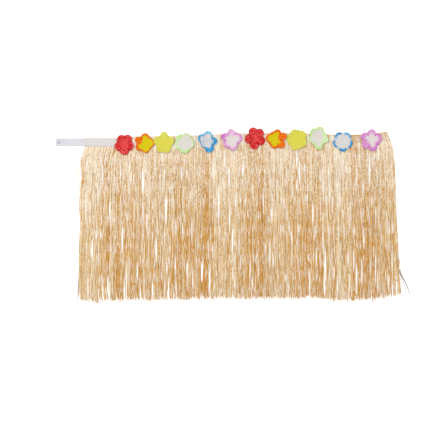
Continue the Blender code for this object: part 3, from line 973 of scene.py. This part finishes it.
# For each dye the colours of the flower's middle and of the rim where it is pale and where it is deep;
# then how soft the dye's edge is, how much darker the creases are and how strongly the painted highlights
# lighten the cloth.
dyes = {
    "red": (dye(228, 66, 64), dye(242, 78, 74), dye(198, 2, 16), 0.5, 1.7, 0.55),
    "orange": (dye(216, 200, 0), dye(242, 146, 20), dye(236, 80, 0), 0.26, 0.5, 0.1),
    "yellow": (dye(222, 214, 74), dye(224, 222, 100), dye(214, 204, 60), 0.5, 0.3, 0.25),
    "green": (dye(225, 217, 212), dye(220, 236, 192), dye(180, 232, 114), 0.34, 0.3, 0.35),
    "blue": (dye(225, 217, 212), dye(112, 200, 238), dye(0, 132, 196), 0.20, 0.5, 0.3),
    "purple": (dye(228, 218, 214), dye(238, 192, 226), dye(212, 112, 196), 0.34, 0.5, 0.3),
}


def petalReach(delta, length, width):
    # Outline of a round lobe of that width whose far side is at that length: the far crossing of a ray,
    # turned by delta from the petal's direction, with the lobe's circle.
    radius = width / 2
    centre = length - radius
    inside = radius**2 - (centre * np.sin(delta)) ** 2
    return np.where(inside > 0, centre * np.cos(delta) + np.sqrt(np.maximum(inside, 0)), 0.0)


def petalRays(petals):
    # Rays from notch to notch of each petal: their directions, and their sides from -1 at the petal's first
    # notch over 0 at its middle to 1 at its last.
    direction = np.radians(petals[:, 0])
    after = np.roll(direction, -1)
    after[-1] += turn
    notch = (direction + after) / 2
    before = np.roll(notch, 1)
    before[0] -= turn
    side = np.linspace(-1, 1, flowerCut["raysPerPetal"], endpoint=False)[None, :]
    left, right = (direction - before)[:, None], (notch - direction)[:, None]
    angle = direction[:, None] + np.where(side < 0, side * left, side * right)
    return angle, np.broadcast_to(side, angle.shape)


def blended(petals, side, column):
    # Each petal keeps its own value over its middle, and meets its neighbour half way at the notch.
    own = petals[:, column : column + 1]
    near = np.where(side < 0, np.roll(own, 1, axis=0), np.roll(own, -1, axis=0))
    return (own + (near - own) / 2 * side**4).reshape(-1, 1)


def waves(angle, counts, rng, fading=0.0):
    # Waves round the flower, each with a phase of its own: the sum of sin(k angle + phase) / k^fading.
    return sum(np.sin(angle * k + rng.uniform(0, turn)) / k**fading for k in counts)


def flowerOutline(angle, petals, middleRadius, rng):
    # Length of each ray: a smooth greatest value of the petals' lobes and the middle's radius,
    # blend * ln(sum of e^(length / blend)), made a little ragged.
    gaps = (angle - np.radians(petals[:, 0])[None, :] + math.pi) % turn - math.pi
    lobes = petalReach(gaps, petals[None, :, 1] * mm, petals[None, :, 2] * mm)
    rim = np.concatenate([lobes, np.full((len(angle), 1), middleRadius * mm)], axis=1)
    outline = np.log(np.exp(rim / flowerCut["blend"]).sum(axis=1, keepdims=True)) * flowerCut["blend"]
    return outline * (1 + flowerCut["ragged"] * waves(angle, (13, 22, 31, 47), rng, 0.5))


def makeFlower(number, kind, x, y, middleRadius, between, petals):
    # One layer of cloth over rays and rings.  Along a ray the cloth bends by an angle that grows past the
    # hinge to the petal's lift, and the sums of its cosine and sine give the distance from the middle and
    # the height.
    name = f"flower_{number:02d}_{kind}"
    rng = np.random.default_rng(flowerCut["seed"] + number)
    petals = np.array(sorted(petals), float)
    angle, side = petalRays(petals)
    lift, reachIn, depth = (blended(petals, side, column) for column in (3, 4, 5))
    angle, side = angle.reshape(-1, 1), side.reshape(-1, 1)
    rays, rings = len(angle), flowerCut["rings"]
    outline = flowerOutline(angle, petals, middleRadius, rng)
    share = np.linspace(0, 1, rings + 1)[None, 1:]
    full = np.ones((rays, rings))

    past = ease((share - flowerCut["hinge"]) / (1 - flowerCut["hinge"]) * 1.3)
    curl = flowerCut["tipCurl"] * rng.uniform(0.2, 1, 5).repeat(flowerCut["raysPerPetal"])[:, None]
    bend = flowerCut["cup"] * share + np.radians(lift) * past - curl * ease((share - 0.8) / 0.2)
    out = np.cumsum(np.cos(bend) * outline / rings, axis=1)
    up = np.cumsum(np.sin(bend) * outline / rings, axis=1)
    shiftX, shiftY = out * np.cos(angle), out * np.sin(angle)
    notchNear = np.abs(side)
    crease = np.exp(-(side / 0.10) ** 2) * bump((share - 0.55) / 0.5)
    valley = np.exp(-((1 - notchNear) / 0.13) ** 2) * ease((share - 0.28) / 0.3)
    up = up + flowerCut["vein"] * np.cos(side * turn * 3.5) * share**1.5 - flowerCut["crease"] * crease
    up = up - flowerCut["droop"] * notchNear**3 * share**2 - flowerCut["valley"] * valley
    up = up + flowerCut["ruffle"] * waves(angle, (9, 16, 27), rng) * share**4

    streaks = waves(angle, (19, 33, 58), rng) / 3
    line = 1 - reachIn + 0.09 * streaks - max(between, 0) * notchNear**6 * 0.75
    painted = ease((share - line) / dyes[kind][3] + 0.5)
    painted = painted * (1 - max(-between, 0) * ease((notchNear - 0.62) / 0.3))
    deepness = np.clip(depth + 0.15 * streaks, 0, 1) * full
    for foldX, high, low, half, deep in folds.get(number, ()):
        onFold = bump((shiftX / mm - foldX) / half / 1.6)
        onFold = onFold * ease((high * mm - shiftY) / (5 * mm)) * ease((shiftY - low * mm) / (5 * mm))
        painted = np.maximum(painted, onFold * (0.4 + 0.6 * deep))
        deepness = np.where(onFold > 0.2, np.maximum(deepness, deep), deepness)
        up = up + flowerCut["fold"] * onFold

    petalNumber = np.arange(rays)[:, None] // flowerCut["raysPerPetal"]
    dyed = np.stack([painted, deepness, (0.5 * crease + 1.2 * valley) * full], axis=2).reshape(-1, 3)
    veins = np.stack([(petalNumber * 3 + side) * full, share * full, 0 * full], axis=2).reshape(-1, 3)
    dyed = np.concatenate([dyed, [[painted[:, 0].mean(), depth.mean(), 0]]])
    veins = np.concatenate([veins, [[0, 0, 0]]])
    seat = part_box(name)[0].z + flowerCut["thickness"] + flowerCut["clearance"]
    points = np.stack([x + shiftX, y + shiftY, seat + np.maximum(up, 0)], axis=2).reshape(-1, 3)
    points = np.concatenate([points, [[x, y, seat]]]) + bandCorner
    ray = np.arange(rays)
    fan = np.stack([np.full(rays, rays * rings), ray * rings, ((ray + 1) % rays) * rings], axis=1)
    faces = [gridFaces(rays, rings, wraps=True)[:, ::-1], fan]
    piece = meshPiece(f"{name}_petals", points, faces, {"petal": dyed, "vein": veins}, sharpAngle=70)
    addWall(piece, flowerCut["thickness"])
    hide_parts(name)
    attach(piece, "root")
    area = float(np.sum(outline**2) / 2 * turn / rays)
    width = float(2 * outline.max())
    return piece


def petalFinish(kind):
    # Stiffened satin: the middle's colour, the rim's colour pale to deep, darker in the creases, with paler
    # patches of painted highlight.
    middle, pale, deep, _, creaseShade, paintedHighlight = dyes[kind]
    finish = Finish(f"{kind} petal cloth")
    painted, depth, crease = finish.mark("petal")
    across, along, _ = finish.mark("vein")
    streak = finish.noise(finish.vector(across * 9, along * 2.2), 1.0, 3.0)
    blotch = finish.noise(finish.place(), 150.0, 2.0)
    rim = finish.mix((depth + (streak - 0.5) * 1.8 + (blotch - 0.5) * 1.4).kept(), pale, deep)
    shareRim = (painted + (blotch - 0.5) * 0.35 * painted * (1 - painted) * 4).kept()
    colour = finish.mix(shareRim, middle, rim)
    dark = tuple(0.5 * value for value in deep[:3]) + (1.0,)
    shade = (streak.between(0.54, 0.74) * 0.5 + crease) * shareRim * (0.4 * creaseShade)
    colour = finish.mix(shade.kept(), colour, dark)
    # painted highlights: paler patches that stand in for the satin's gloss
    patch = finish.noise(finish.place(), 190.0, 1.0)
    light = tuple(value + 0.12 * (0.86 - value) for value in pale[:3]) + (1.0,)
    colour = finish.mix(patch.between(0.50, 0.66) * paintedHighlight, colour, light)
    return finish.done({
        "Base Color": colour,
        "Roughness": 0.7 + (blotch - 0.5) * 0.2,
        "Specular IOR Level": 0.12,
        "Normal": finish.raised(finish.weave(0.5 * mm) * 0.25 + streak, 0.25 * mm, 0.6),
    })


petalCloths = {kind: petalFinish(kind) for kind in dyes}
for number, (kind, *cut) in enumerate(flowers, start=1):
    flower = makeFlower(number, kind, *cut)
    flower.data.materials.append(petalCloths[kind])
print("flowers made:", len(flowers))


# Floor, light and camera.
studio = {
    "floorSize": 14.0,
    "floorDrop": 0.2 * mm,
    "floor": (0.66, 0.66, 0.66, 1.0),
    "floorGlow": 0.55,           # keeps the surface white between the strands
    "world": 0.78,
    "key": (274.0, 7.0, (-2.6, 1.9, 5.8)),  # power, size and place
    "cameraHeight": 3.642,
    "lens": 100,
    "sensor": 36,
    "aim": (0.4869, -0.2345),    # the middle of the view, from the band's corner
}


def makeStudio():
    # A white floor just under the skirt, an even white room, one broad light and a camera straight above.
    half, low = studio["floorSize"] / 2, -studio["floorDrop"]
    corners = np.array([(-half, -half, low), (half, -half, low), (half, half, low), (-half, half, low)])
    floor = meshPiece("floor", corners, [np.array([[0, 1, 2, 3]])])
    finish = Finish("white floor")
    floor.data.materials.append(finish.done({
        "Base Color": studio["floor"],
        "Roughness": 0.9,
        "Emission Color": (1, 1, 1, 1),
        "Emission Strength": studio["floorGlow"],
    }))

    scene = bpy.context.scene
    world = bpy.data.worlds.new("soft white room")
    world.use_nodes = True
    world.node_tree.nodes["Background"].inputs["Color"].default_value = (1, 1, 1, 1)
    world.node_tree.nodes["Background"].inputs["Strength"].default_value = studio["world"]
    scene.world = world
    scene.view_settings.view_transform = "Standard"
    scene.view_settings.look = "None"

    power, size, place = studio["key"]
    light = bpy.data.lights.new("key", "AREA")
    light.energy, light.size = power, size
    key = bpy.data.objects.new("key", light)
    key.location = place
    key.rotation_euler = (-Vector(place)).to_track_quat("-Z", "Y").to_euler()
    scene.collection.objects.link(key)

    camera = bpy.data.objects.new("camera", bpy.data.cameras.new("camera"))
    camera.data.lens = studio["lens"]
    camera.data.sensor_width = studio["sensor"]
    aimX, aimY = studio["aim"]
    camera.location = (aimX + bandCorner[0], aimY + bandCorner[1], studio["cameraHeight"])
    camera.rotation_euler = (0, 0, 0)
    scene.collection.objects.link(camera)
    scene.camera = camera


makeStudio()
print("studio made")
